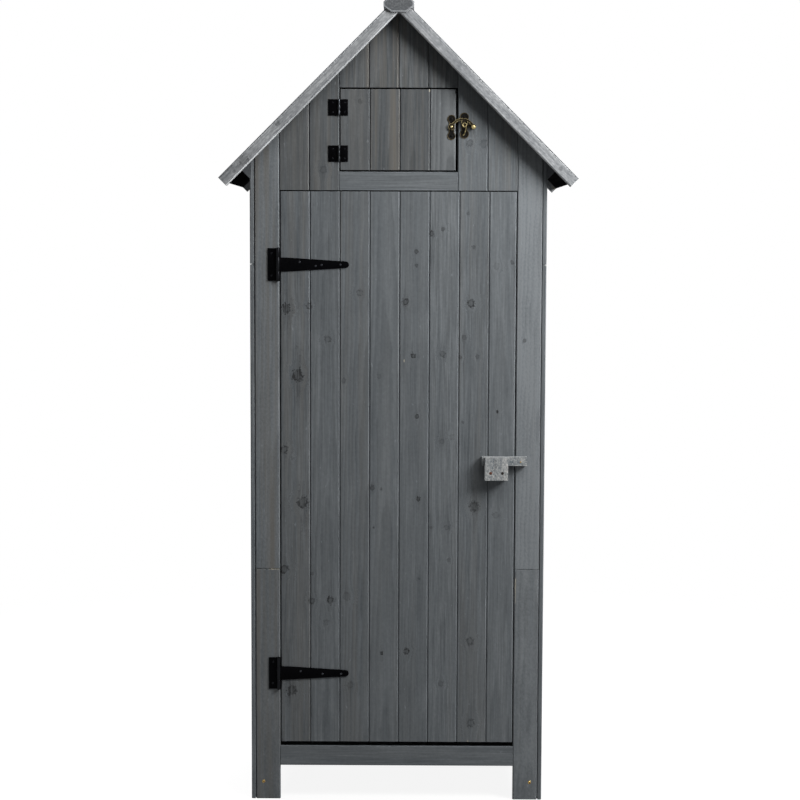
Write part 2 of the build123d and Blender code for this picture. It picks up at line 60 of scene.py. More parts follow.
def add(tree, kind, inputs=None, **settings):
    """A new node, a shader node unless its kind says more.  Settings are its properties, inputs its
    sockets' values or the nodes before it."""
    node = tree.nodes.new(kind if "Node" in kind else "ShaderNode" + kind)
    for key, value in settings.items():
        setattr(node, key, value)
    for key, value in (inputs or {}).items():
        if isinstance(value, bpy.types.Node):
            value = value.outputs[0]
        if isinstance(value, bpy.types.NodeSocket):
            tree.links.new(value, node.inputs[key])
        else:
            node.inputs[key].default_value = value
    return node


def blank(name):
    """A new material and its empty node tree."""
    finish = bpy.data.materials.new(name)
    finish.use_nodes = True
    finish.node_tree.nodes.clear()
    return finish, finish.node_tree


# A knot.  A small one is dark right through, a larger one is a broken dark ring round a paler
# heart, and the largest are smudged blots.  The grain runs round it and darkens in streaks above
# and below it.  Sizes are in metres.
solid_radius, ringed_radius, large_radius, blotted_radius = 0.0035, 0.006, 0.0074, 0.0096
ring_place, round_spot, long_spot = 0.9, (0.92, 1.0, 0.0), (0.15, 0.9, 0.0)
knot_cells = {"ragged": (0.0042, 0.0036, 1.0), "broken": (0.0060, 0.0048, 1.0),
              "streak": (0.06, 0.0026, 1.0)}
# Map Range: 0 is the value, 1 and 2 are from, 3 and 4 to.  Mix: 0 is the share, 6 and 7 colours.
smooth = {"interpolation_type": "SMOOTHSTEP"}
fir_knot = bpy.data.node_groups.new("fir_knot", "ShaderNodeTree")
for label, way, kind in (
    ("Grain", "INPUT", "NodeSocketVector"),
    ("Knot", "INPUT", "NodeSocketVector"),
    ("Force", "INPUT", "NodeSocketFloat"),
    ("Seed", "INPUT", "NodeSocketFloat"),
    ("Grain", "OUTPUT", "NodeSocketVector"),
    ("Dark", "OUTPUT", "NodeSocketFloat"),
):
    fir_knot.interface.new_socket(label, in_out=way, socket_type=kind)
t = fir_knot
given = add(t, "NodeGroupInput").outputs
size = add(t, "SeparateXYZ", {0: given["Knot"]}).outputs[2]
away = add(t, "VectorMath", {0: given["Grain"], 1: given["Knot"]}, operation="SUBTRACT")
noise = {}
for label, cell in knot_cells.items():
    shrunk = add(t, "VectorMath", {0: given["Grain"], 1: [1 / c for c in cell]},
                 operation="MULTIPLY")
    noise[label] = add(t, "TexNoise",
                       {"Vector": shrunk, "W": given["Seed"], "Scale": 1.0, "Detail": 2.0},
                       noise_dimensions="4D")
ragged = add(t, "MapRange", {0: noise["ragged"], 1: 0.3, 2: 0.7, 3: 0.62, 4: 1.38})
broken = add(t, "MapRange", {0: noise["broken"], 1: 0.36, 2: 0.60, 3: 0.35, 4: 1.0})
streak = add(t, "MapRange", {0: noise["streak"], 1: 0.42, 2: 0.62}, **smooth)
reaches = []
for squeeze in (round_spot, long_spot):
    span = add(t, "VectorMath", {0: away, 1: squeeze}, operation="MULTIPLY")
    span = add(t, "VectorMath", {0: span}, operation="LENGTH").outputs["Value"]
    span = add(t, "Math", {0: span, 1: size}, operation="DIVIDE")
    reaches.append(add(t, "Math", {0: span, 1: ragged}, operation="MULTIPLY"))
reach, long_reach = reaches
large = add(t, "MapRange", {0: size, 1: large_radius, 2: blotted_radius})
heart = add(t, "MapRange", {0: reach, 1: 0.35, 2: 1.1, 3: 1.0, 4: 0.0}, **smooth)
depth = add(t, "MapRange", {0: size, 1: solid_radius, 2: ringed_radius, 3: 0.85, 4: 0.32})
dark = add(t, "Math", {0: heart, 1: depth}, operation="MULTIPLY")
rim = add(t, "Math", {0: reach, 1: ring_place}, operation="SUBTRACT")
rim = add(t, "Math", {0: rim}, operation="ABSOLUTE")
rim = add(t, "MapRange", {0: rim, 1: 0.06, 2: 0.45, 3: 1.0, 4: 0.0}, **smooth)
dark = add(t, "Math", {0: rim, 1: broken, 2: dark}, operation="MULTIPLY_ADD")
blot = add(t, "MapRange", {0: reach, 1: 0.4, 2: 1.7, 3: 0.5, 4: 0.0}, **smooth)
blot = add(t, "Math", {0: blot, 1: large}, operation="MULTIPLY")
dark = add(t, "Math", {0: blot, 1: broken, 2: dark}, operation="MULTIPLY_ADD")
tail = add(t, "MapRange", {0: long_reach, 1: 0.25, 2: 1.2, 3: 1.0, 4: 0.0}, **smooth)
trail = add(t, "MapRange", {0: large, 3: 0.3, 4: 0.8})
tail = add(t, "Math", {0: tail, 1: trail}, operation="MULTIPLY")
dark = add(t, "Math", {0: tail, 1: streak, 2: dark}, operation="MULTIPLY_ADD")
dark = add(t, "Math", {0: dark, 1: given["Force"]}, operation="MULTIPLY", use_clamp=True)
halo = add(t, "MapRange", {0: reach, 1: 0.7, 2: 3.6, 3: -0.7, 4: 0.0}, **smooth)
bend = add(t, "Math", {0: halo, 1: add(t, "SeparateXYZ", {0: away}).outputs[1]},
           operation="MULTIPLY")
bend = add(t, "CombineXYZ", {1: bend})
bent = add(t, "VectorMath", {0: given["Grain"], 1: bend}, operation="ADD")
add(t, "NodeGroupOutput", {"Grain": bent, "Dark": dark})


def stained_fir(name, deep, stain, thin, worn, ends, fibrous=1.05, cloudy=0.7, mottled=0.4,
                fleck=(0.0075, 0.0055), pitted=0.0, edges=0.2, roughness=0.64, sheen=0.18):
    """Planed fir under a thin grey stain.  The eye sees soft streaks along the grain, cloudy
    patches where the stain is thicker, faint growth rings, knots, dark end grain, pale edges that
    are partly rubbing and partly painted highlight, and raw timber in the nicks.  Fibre is drawn
    3 mm wide, coarser than real, so that it shows."""
    ring_pitch, ring_wander, ring_slope = 0.0062, 0.010, 0.014
    pith_depth, pith_offset, fibre_depth = 0.034, 0.035, 0.0007
    heartwood, knot_wood, raw_wood = "#585550", "#232425", "#8f8a7e"
    sizes = {"fibre": (0.085, 0.0032, 0.0032), "band": (0.45, 0.010, 0.010),
             "cloud": (0.13, 0.042, 0.042), "streak": (0.60, 0.012, 0.012),
             "scuff": (0.016, 0.007, 0.007), "speck": (*fleck, fleck[1])}
    shares = {"fibre": fibrous, "band": 0.55, "cloud": cloudy, "speck": mottled}
    finish, t = blank(name)
    board = add(t, "Attribute", attribute_name="board")
    tone, seed, warm = add(t, "SeparateXYZ", {0: board}).outputs
    force = add(t, "SeparateXYZ", {0: add(t, "Attribute", attribute_name="force")})
    straight = add(t, "Attribute", attribute_name="grain")
    grain, darks = straight, []
    for letter, share in zip("ab", force.outputs):
        at = add(t, "Attribute", attribute_name="knot_" + letter)
        grain = add(t, "Group", {"Grain": grain, "Knot": at, "Force": share, "Seed": seed},
                    node_tree=fir_knot)
        darks.append(grain.outputs["Dark"])
    dark = add(t, "Math", {0: darks[0], 1: darks[1]}, operation="MAXIMUM")
    noise = {}
    for label, size in sizes.items():
        shrunk = add(t, "VectorMath", {0: grain, 1: [1 / s for s in size]}, operation="MULTIPLY")
        noise[label] = add(t, "TexNoise",
                           {"Vector": shrunk, "W": seed, "Scale": 1.0, "Detail": 2.0,
                            "Roughness": 0.55}, noise_dimensions="4D")
    skin = add(t, "SeparateXYZ", {0: add(t, "Attribute", attribute_name="skin")})
    fibre = add(t, "Math", {0: noise["fibre"], 1: 0.5}, operation="SUBTRACT")
    noise["fibre"] = add(t, "Math", {0: fibre, 1: skin.outputs[2], 2: 0.5},
                         operation="MULTIPLY_ADD")
    along, across, inward = add(t, "SeparateXYZ", {0: grain}).outputs
    pith = add(t, "Math", {0: seed}, operation="FRACT")
    pith = add(t, "MapRange", {0: pith, 3: -pith_offset, 4: pith_offset})
    off = add(t, "Math", {0: across, 1: pith}, operation="SUBTRACT")
    under = add(t, "Math", {0: inward, 1: pith_depth}, operation="ADD")
    ring = add(t, "CombineXYZ", {1: off, 2: under})
    ring = add(t, "VectorMath", {0: ring}, operation="LENGTH").outputs["Value"]
    ring = add(t, "Math", {0: noise["cloud"], 1: ring_wander, 2: ring}, operation="MULTIPLY_ADD")
    ring = add(t, "Math", {0: along, 1: ring_slope, 2: ring}, operation="MULTIPLY_ADD")
    ring = add(t, "Math", {0: ring, 1: ring_pitch}, operation="DIVIDE")
    ring = add(t, "Math", {0: ring}, operation="FRACT")
    rise = add(t, "MapRange", {0: ring, 1: 0.1, 2: 0.8}, **smooth)
    fall = add(t, "MapRange", {0: ring, 1: 0.8, 2: 1.0, 3: 1.0, 4: 0.0}, **smooth)
    late = add(t, "Math", {0: rise, 1: fall}, operation="MULTIPLY")
    late = add(t, "Math", {0: late, 1: force.outputs[2]}, operation="MULTIPLY")
    shade = add(t, "Math", {0: tone, 1: 0.5 - sum(shares.values()) / 2}, operation="ADD")
    for label, share in shares.items():
        shade = add(t, "Math", {0: noise[label], 1: share, 2: shade}, operation="MULTIPLY_ADD")
    shade = add(t, "Math", {0: shade, 1: late}, operation="SUBTRACT")
    colour = add(t, "ValToRGB", {0: shade})
    for stop, code in enumerate((deep, thin)):
        colour.color_ramp.elements[stop].color = linear(code)
    colour.color_ramp.elements.new(0.5).color = linear(stain)
    brown = add(t, "MapRange", {0: noise["streak"], 1: 0.38, 2: 0.72, 4: 0.9}, **smooth)
    brown = add(t, "Math", {0: brown, 1: warm}, operation="MULTIPLY", use_clamp=True)
    colour = add(t, "Mix", {0: brown, 6: colour, 7: linear(heartwood)}, data_type="RGBA")
    # Pale edges: partly rubbed wear, partly painted highlight on the arrises.
    edge = add(t, "MapRange", {0: noise["cloud"], 1: 0.3, 2: 0.7, 3: 0.0, 4: edges})
    edge = add(t, "Math", {0: edge, 1: skin.outputs[0]}, operation="MULTIPLY")
    rubbed = add(t, "MapRange", {0: noise["scuff"], 1: 0.68, 2: 0.78, 4: 0.28}, **smooth)
    rubbed = add(t, "Math", {0: rubbed, 1: edge}, operation="MAXIMUM")
    colour = add(t, "Mix", {0: rubbed, 6: colour.outputs[2], 7: linear(worn)}, data_type="RGBA")
    thirst = add(t, "MapRange", {0: noise["speck"], 1: 0.3, 2: 0.7, 3: 1.0, 4: 0.6})
    thirst = add(t, "Math", {0: thirst, 1: skin.outputs[1]}, operation="MULTIPLY")
    colour = add(t, "Mix", {0: thirst, 6: colour.outputs[2], 7: linear(ends)}, data_type="RGBA")
    pit = add(t, "MapRange", {0: noise["scuff"], 1: 0.30, 2: 0.40, 3: pitted, 4: 0.0}, **smooth)
    dark = add(t, "Math", {0: dark, 1: pit}, operation="MAXIMUM")
    colour = add(t, "Mix", {0: dark, 6: colour.outputs[2], 7: linear(knot_wood)}, data_type="RGBA")
    nick = add(t, "Attribute", attribute_name="nick")
    chip = add(t, "VectorMath", {0: straight, 1: nick}, operation="SUBTRACT")
    size = add(t, "Attribute", attribute_name="nick_size")
    chip = add(t, "VectorMath", {0: chip, 1: size}, operation="DIVIDE")
    chip = add(t, "VectorMath", {0: chip}, operation="LENGTH").outputs["Value"]
    broken = add(t, "SeparateXYZ", {0: size}).outputs[2]
    chip = add(t, "Math", {0: noise["scuff"], 1: broken, 2: chip}, operation="MULTIPLY_ADD")
    chip = add(t, "MapRange", {0: chip, 1: 1.0, 2: 1.3, 3: 0.85, 4: 0.0})
    colour = add(t, "Mix", {0: chip, 6: colour.outputs[2], 7: linear(raw_wood)}, data_type="RGBA")
    height = add(t, "Math", {0: late, 1: -0.8, 2: noise["fibre"]}, operation="MULTIPLY_ADD")
    height = add(t, "Math", {0: noise["speck"], 1: mottled, 2: height}, operation="MULTIPLY_ADD")
    height = add(t, "Math", {0: dark, 1: -0.5, 2: height}, operation="MULTIPLY_ADD")
    bump = add(t, "Bump", {"Strength": 0.4, "Distance": fibre_depth, "Height": height})
    gloss = add(t, "MapRange", {0: noise["fibre"], 3: roughness - 0.08, 4: roughness + 0.14})
    skin = add(t, "BsdfPrincipled",
               {"Base Color": colour.outputs[2], "Roughness": gloss, "Normal": bump,
                "Specular IOR Level": sheen})
    add(t, "OutputMaterial", {"Surface": skin})
    return finish


seam_gap, sliver = 2e-5, 2e-6


def planks(node, finish, along, face, body="shed", tones=(),
           warm=(0.1,), rings=0.15, combed=(1.0,), knots=None, nicks=(), soften=0.7, rim=0.0,
           halves=False):
    """A CAD node's boards as one piece with softened edges.  Each board keeps its own grain, shade
    and knots, and its fibre is combed more or less deeply.  Knots (x, z, radius, force) and nicks
    (x, z, length, width, broken) are in mm on the front wall; without a list, knots are dealt at
    random.  A board is cut between its knots, so that each length carries its own.  The ends have a
    paler border, rim mm wide.  With halves, boards that touch at x = 0 are kept apart."""
    along, face = Vector(along).normalized(), Vector(face).normalized()
    axes = along, along.cross(face), face
    nowhere, no_nick, edge_width = (9.0, 0.0, 0.001, 0.0), (0.001, 0.001, 1.4), 0.006
    knot_spacing, knot_radii, knot_overhang = 0.17, (0.0025, 0.004, 0.0055, 0.007), 0.004
    knot_forces, tone_spread, ring_spread, warm_spread = (0.3, 0.9), 0.14, (0.3, 1.4), (0.7, 1.3)
    end_lean, flat_lean, square_lean, rim_wear, touching = 0.95, 0.97, 0.99, 0.15, 1e-4
    flat_angle, corner_angle = math.radians(1), math.radians(20)
    dice = random.Random(node)
    work = bmesh.new()
    work.from_mesh(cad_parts[node].data)
    groups = [list(work.verts)]
    if halves:
        left = {v for f in work.faces if f.calc_center_median().x < f.normal.x * touching
                for v in f.verts}
        groups = [[v for v in work.verts if (v in left) == keep] for keep in (True, False)]
    for group in groups:
        bmesh.ops.remove_doubles(work, verts=group, dist=seam_gap)
    bmesh.ops.dissolve_limit(work, angle_limit=flat_angle, verts=work.verts, edges=work.edges)
    border = work.faces.layers.int.new("border")
    if rim:
        ends = [f for f in work.faces if abs(f.normal.dot(along)) > square_lean]
        for f in bmesh.ops.inset_region(work, faces=ends, thickness=rim / 1000,
                                        use_even_offset=True)["faces"]:
            f[border] = 1
    corners = [e for e in work.edges if e.is_manifold and e.calc_face_angle() > corner_angle]
    bmesh.ops.bevel(work, geom=corners, offset=soften / 1000, segments=2, profile=0.5,
                    affect="EDGES", clamp_overlap=True)
    grain = work.verts.layers.float_vector.new("grain")
    marks = {name: work.faces.layers.float_vector.new(name)
             for name in ("board", "skin", "force", "knot_a", "knot_b", "nick", "nick_size")}
    boards, seen = [], set()
    for first in list(work.faces):
        if first not in seen:
            seen.add(first)
            heap, faces = [first], []
            while heap:
                faces.append(heap.pop())
                for other in (f for e in faces[-1].edges for f in e.link_faces):
                    if other not in seen:
                        seen.add(other)
                        heap.append(other)
            verts = list(dict.fromkeys(v for f in faces for v in f.verts))
            edges = list(dict.fromkeys(e for f in faces for e in f.edges))
            low = [min(v.co.dot(axis) for v in verts) for axis in axes]
            high = [max(v.co.dot(axis) for v in verts) for axis in axes]
            middle = [(a + b) / 2 for a, b in zip(low, high)]
            half = [(b - a) / 2 for a, b in zip(low, high)]
            place = sum((axis * m for axis, m in zip(axes, middle)), Vector())
            boards.append(([round(c, 3) for c in place], middle, half, verts + edges + faces))
    boards.sort(key=lambda board: board[0])
    for rank, (_, middle, half, parts) in enumerate(boards):
        spots, chip, chip_size = [], nowhere, no_nick
        if knots is None:
            for _ in range(int(half[0] / knot_spacing + dice.random())):
                spots.append((dice.uniform(-half[0], half[0]), dice.uniform(-half[1], half[1]),
                              dice.choice(knot_radii), dice.uniform(*knot_forces)))
        for mark in [*(knots or ()), *nicks]:
            spot = Vector((mark[0] / 1000, 0, mark[1] / 1000))
            u, v = (spot.dot(axis) - m for axis, m in zip(axes, middle[:2]))
            if abs(u) < half[0] + knot_overhang and abs(v) < half[1] + knot_overhang:
                if mark in nicks:
                    chip, chip_size = (u, v, 0.0), (mark[2] / 1000, mark[3] / 1000, mark[4])
                else:
                    spots.append((u, v, mark[2] / 1000, mark[3]))
        spots.sort()
        cuts = [(a[0] + b[0]) / 2 for a, b in zip(spots, spots[1:])]
        for cut in cuts:
            parts = bmesh.ops.bisect_plane(work, geom=parts, dist=1e-6,
                                           plane_co=along * (middle[0] + cut),
                                           plane_no=along)["geom"]
        tone = tones[rank % len(tones)] if tones else dice.uniform(-tone_spread, tone_spread)
        seed, ring = dice.uniform(0, 60), rings * dice.uniform(*ring_spread)
        warmth = warm[rank % len(warm)] * dice.uniform(*warm_spread)
        for part in parts:
            if isinstance(part, bmesh.types.BMVert):
                part[grain] = [part.co.dot(axis) - m for axis, m in zip(axes, middle)]
            elif isinstance(part, bmesh.types.BMFace):
                part.normal_update()
                centre = part.calc_center_median().dot(along) - middle[0]
                own = spots[sum(centre > cut for cut in cuts)] if spots else nowhere
                rest = [spot for spot in spots if spot is not own]
                other = min(rest, key=lambda spot: abs(spot[0] - own[0]), default=nowhere)
                leans = [abs(part.normal.dot(axis)) for axis in axes]
                part[marks["board"]] = (tone, seed, warmth)
                width = part.calc_area() / max(e.calc_length() for e in part.edges)
                slim = max(leans) < flat_lean and width < edge_width
                skin = (rim_wear, 0.0) if part[border] else (slim, leans[0] > end_lean)
                part[marks["skin"]] = (*skin, combed[rank % len(combed)])
                part[marks["force"]] = (own[3], other[3], ring)
                part[marks["knot_a"]], part[marks["knot_b"]] = own[:3], other[:3]
                part[marks["nick"]], part[marks["nick_size"]] = chip[:3], chip_size
    bmesh.ops.dissolve_degenerate(work, dist=sliver, edges=work.edges)
    mesh = bpy.data.meshes.new(node + ".planed")
    work.to_mesh(mesh)
    work.free()
    mesh.materials.append(finish)
    piece = bpy.data.objects.new(mesh.name, mesh)
    bpy.context.scene.collection.objects.link(piece)
    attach(piece, body)
    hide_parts(node)


inner_fir = stained_fir("thin_stained_fir", "#4d5052", "#5f6265", "#767a7d", "#8b8f92", "#45474a",
                        roughness=0.7)
# Almost black as painted shade, for parts seen only in shade: stops, battens and roof boards.
painted_shade_fir = stained_fir("painted_shade_stained_fir", "#0c0c0d", "#131314", "#1b1b1d", "#242426", "#101011",
                       roughness=0.9, sheen=0.0)
planks("corner_posts", inner_fir, upright, frontward)
planks("door_stops", painted_shade_fir, upright, frontward)
for node, finish in (("lintel_batten", painted_shade_fir), ("gable_batten", painted_shade_fir),
                     ("back_battens", inner_fir)):
    planks(node, finish, sideways, frontward)

# Floor: two bearers and two cleats of fir nailed between the posts, with five wide boards and two
# narrow fillers laid across them and nailed down, a few millimetres apart.
planks("floor_bearers", inner_fir, sideways, upright)
planks("floor_boards", inner_fir, sideways, upright)

# Side and back walls: matched fir boards, tongue in groove with bevelled edges, between two stiles
# in two lengths and over a bottom rail.  They are nailed from inside, so no nail shows.
grey_fir = stained_fir("grey_stained_fir", "#45494c", "#585c5f", "#6c7073", "#868c91", "#3b3e40")
for side, face in (("left", (-1, 0, 0)), ("right", sideways), ("back", backward)):
    planks(side + "_wall_boards", grey_fir, upright, face)
    # The right-hand wall's stiles are toned darker, as painted shade.
    planks(side + "_wall_stiles", grey_fir, upright, face,
           tones=[-0.1 if side == "right" else 0.15])
planks("wall_rails", grey_fir, sideways, upright)

# Front frame: stiles in two lengths, a bottom rail, the lintel over the door and the gable boards
# round the hatch, all 9 mm fir nailed to the posts and battens.  The stiles took less stain than
# the boards, and their tones also carry painted light: lighter on the right and up high, darker low
# on the left.  The gable's top boards show brown heartwood.
even_fir = stained_fir("even_stained_fir", "#45494c", "#585c5f", "#6c7073", "#868c91", "#3b3e40",
                       fibrous=0.55, mottled=0.75, fleck=(0.006, 0.0045))
stile_knots = [(282, 1048, 4.0, 0.5)]
stile_nicks = [(-277, 530, 5.5, 26.0, 1.75), (267, 478, 64.0, 3.2, 1.65)]
# Stile tones hold painted light: upper lengths and right-hand stiles lighter, lower left darker.
for side, warmth, lower_tone_and_light, upper_tone_and_light in (("left", 0.9, 0.06, 0.22), ("right", 0.1, 0.22, 0.47)):
    planks(f"front_stile_{side}_lower", even_fir, upright, frontward, tones=[lower_tone_and_light],
           combed=[0.5], knots=[], nicks=stile_nicks, warm=[warmth])
    planks(f"front_stile_{side}_upper", even_fir, upright, frontward, tones=[upper_tone_and_light],
           combed=[0.5], knots=stile_knots, warm=[warmth])
for node in ("front_bottom_rail", "lintel"):
    planks(node, grey_fir, sideways, frontward, tones=[0.0], knots=[])
heart_fir = stained_fir("brown_grey_fir", "#393c3e", "#484b4d", "#5c5f61", "#84888b", "#34373a")
gable_knots = [(-166, 1425, 6.7, 0.4), (158, 1485, 6.7, 0.6), (189, 1483, 7.6, 0.5)]
planks("gable_boards_left", heart_fir, upright, frontward, tones=[0.07], knots=gable_knots,
       warm=[0.5])
planks("gable_boards_right", grey_fir, upright, frontward, tones=[0.0], knots=gable_knots,
       warm=[0.4])
planks("gable_boards_top", heart_fir, upright, frontward, tones=[0.02, -0.02, 0.14, 0.18], knots=[],
       warm=[0.6, 0.9, 0.6, 0.3], rings=0.4, combed=[1.7])

# Leg screws: one countersunk screw in the foot of each front stile, yellow zinc plated and starting
# to rust.  A screw head is a low dome with a cross recess, and each one stopped at its own angle.
# Clout and rivet heads are made in the same way.
screw_head, clout_head, rivet_head = (bpy.data.node_groups.new(kind + "_head", "GeometryNodeTree")
                                      for kind in ("screw", "clout", "rivet"))
cross_recess, full_turn = ((1.15, 0.22, 1.0), (0.22, 1.15, 1.0)), 6.28
crease = math.radians(40)
for t in (screw_head, clout_head, rivet_head):
    t.interface.new_socket("Geometry", in_out="OUTPUT", socket_type="NodeSocketGeometry")
    for label, kind in (("Geometry", "NodeSocketGeometry"), ("Radius", "NodeSocketFloat"),
                        ("Rise", "NodeSocketFloat"), ("Facing", "NodeSocketVector"),
                        ("Finish", "NodeSocketMaterial")):
        t.interface.new_socket(label, in_out="INPUT", socket_type=kind)
    given = add(t, "NodeGroupInput").outputs
    stretch = add(t, "CombineXYZ", {0: given["Radius"], 1: given["Radius"], 2: given["Rise"]})
    if t is clout_head:
        head = add(t, "GeometryNodeMeshCone",
                   {"Vertices": 12, "Radius Top": 0.82, "Radius Bottom": 1.0, "Depth": 1.0})
    else:
        head = add(t, "GeometryNodeMeshUVSphere", {"Segments": 14, "Rings": 8, "Radius": 1.0})
    for bar in cross_recess if t is screw_head else ():
        blade = add(t, "GeometryNodeMeshCube", {"Size": bar})
        blade = add(t, "GeometryNodeTransform", {"Geometry": blade, "Translation": (0.0, 0.0, 1.0)})
        head = add(t, "GeometryNodeMeshBoolean", {"Mesh 1": head, "Mesh 2": blade},
                   operation="DIFFERENCE", solver="MANIFOLD")
    head = add(t, "GeometryNodeTransform", {"Geometry": head, "Scale": stretch})
    facing = add(t, "FunctionNodeAlignRotationToVector", {"Vector": given["Facing"]}, axis="Z")
    angle = add(t, "FunctionNodeRandomValue", {"Min": 0.0, "Max": full_turn, "Seed": 7},
                data_type="FLOAT")
    spin = add(t, "FunctionNodeAxisAngleToRotation",
               {"Axis": (0.0, 0.0, 1.0), "Angle": angle.outputs[1]})
    facing = add(t, "FunctionNodeRotateRotation", {"Rotation": facing, "Rotate By": spin},
                 rotation_space="LOCAL")
    heads = add(t, "GeometryNodeInstanceOnPoints",
                {"Points": given["Geometry"], "Instance": head, "Rotation": facing})
    heads = add(t, "GeometryNodeRealizeInstances", {"Geometry": heads})
    heads = add(t, "GeometryNodeSetMaterial", {"Geometry": heads, "Material": given["Finish"]})
    add(t, "NodeGroupOutput", {"Geometry": heads})


def fasteners(name, tree, spots, radius, rise, finish, body, facing=frontward, replaced=()):
    """Heads of one kind at the spots; spots, radius and rise are in mm."""
    dots = bpy.data.meshes.new(name)
    dots.from_pydata([[c / 1000 for c in spot] for spot in spots], [], [])
    piece = bpy.data.objects.new(name, dots)
    bpy.context.scene.collection.objects.link(piece)
    maker = piece.modifiers.new("heads", "NODES")
    maker.node_group = tree
    given = {"Radius": radius / 1000, "Rise": rise / 1000, "Facing": facing, "Finish": finish}
    for socket in tree.interface.items_tree:
        if socket.in_out == "INPUT" and socket.name in given:
            maker[socket.identifier] = given[socket.name]
    made = piece.evaluated_get(bpy.context.evaluated_depsgraph_get())
    mesh = bpy.data.meshes.new_from_object(made)
    piece.modifiers.remove(maker)
    piece.data = mesh
    mesh.shade_smooth()
    mesh.set_sharp_from_angle(angle=crease)
    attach(piece, body)
    if replaced:
        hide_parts(*replaced)


def plated(name, bright, dull, rust, patch_size, rusted, roughness=0.36):
    """Plated steel or brass: a slightly blotchy shine that turns dull where the plating has failed.
    Blotches are patch_size metres across."""
    grain_depth = 0.0003
    finish, t = blank(name)
    place = add(t, "TexCoord").outputs["Object"]
    bloom = add(t, "TexNoise", {"Vector": place, "Scale": 1 / patch_size, "Detail": 3.0})
    colour = add(t, "Mix", {0: bloom, 6: linear(bright), 7: linear(dull)}, data_type="RGBA")
    failed = add(t, "MapRange", {0: bloom, 1: 0.72 - rusted, 2: 0.84 - rusted})
    colour = add(t, "Mix", {0: failed, 6: colour.outputs[2], 7: linear(rust)}, data_type="RGBA")
    shine = add(t, "MapRange", {0: failed, 3: 1.0, 4: 0.0})
    matt = add(t, "MapRange", {0: failed, 3: roughness, 4: 0.9})
    grain = add(t, "Bump", {"Strength": 0.3, "Distance": grain_depth, "Height": bloom})
    skin = add(t, "BsdfPrincipled",
               {"Base Color": colour.outputs[2], "Metallic": shine, "Roughness": matt,
                "Normal": grain})
    add(t, "OutputMaterial", {"Surface": skin})
    return finish


yellow_zinc = plated("yellow_zinc_steel", "#b29a5c", "#7d6a3c", "#6b4424", 0.003, 0.30)
leg_radius, leg_rise = 3.6, 1.0
low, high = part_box("leg_screws")
leg_z, leg_y = (low.z + high.z) * 500, high.y * 1000
leg_xs = low.x * 1000 + leg_radius, high.x * 1000 - leg_radius
fasteners("leg_screw_heads", screw_head, [(x, leg_y, leg_z) for x in leg_xs], leg_radius, leg_rise,
          yellow_zinc, "shed", replaced=["leg_screws"])

# Shelves and attic floor: fir slats 9 mm thick, laid loose on cleats that are nailed to the side
# walls, so a shelf can be lifted out for tall tools.
for node in ("shelf_1", "shelf_2", "shelf_3", "attic_floor"):
    planks(node, inner_fir, sideways, upright)
planks("shelf_cleats", inner_fir, backward, upright)

# Roof carcass: a rafter at each gable, a plate on each side wall, a three-cornered fillet outside
# it, and the boards that lie along the roof and are nailed to the rafters.  The boards are painted
# almost black and the fillets dark grey, as painted shade under the eaves.
planks("wall_plates", inner_fir, backward, upright)
# The fillets' dark grey is painted shade under the eaves.
painted_shade_sawn_fir = stained_fir("painted_shade_sawn_fir", "#3f4244", "#4d5053", "#5c5f62", "#65686b", "#4a4d50",
                       roughness=0.8)
planks("eave_fillets", painted_shade_sawn_fir, backward, upright)
planks("rafters", inner_fir, sideways, frontward, halves=True)
for side, lean in (("left", -1), ("right", 1)):
    planks("roof_boards_" + side, painted_shade_fir, backward, (lean, 0, 1))

# Roofing felt: one sheet of bitumen felt on each slope with grey mineral grit rolled into it, its
# edges tacked down with galvanised clout nails.  Grit is drawn 2.2 mm across, coarser than real, so
# that it shows.
grit_size, grit_depth, patch_size = 0.0022, 0.0012, 0.11
mineral_felt, t = blank("mineral_felt")
place = add(t, "TexCoord").outputs["Object"]
grit = add(t, "TexVoronoi", {"Vector": place, "Scale": 1 / grit_size})
patch = add(t, "TexNoise", {"Vector": place, "Scale": 1 / patch_size, "Detail": 3.0})
stone = add(t, "SeparateXYZ", {0: grit.outputs["Color"]}).outputs[0]
speck = add(t, "Math", {0: patch, 1: 0.5, 2: stone}, operation="MULTIPLY_ADD")
speck = add(t, "MapRange", {0: speck, 1: 0.2, 2: 1.4})
grit_colour = add(t, "ValToRGB", {0: speck})
grit_colour.color_ramp.elements[0].color = linear("#383b3d")
grit_colour.color_ramp.elements[1].color = linear("#84878a")
grit_colour.color_ramp.elements.new(0.6).color = linear("#5e6164")
grit_bump = add(t, "Bump", {"Strength": 0.7, "Distance": grit_depth, "Height": grit}, invert=True)
skin = add(t, "BsdfPrincipled",
           {"Base Color": grit_colour, "Roughness": 0.92, "Normal": grit_bump,
            "Specular IOR Level": 0.2})
add(t, "OutputMaterial", {"Surface": skin})


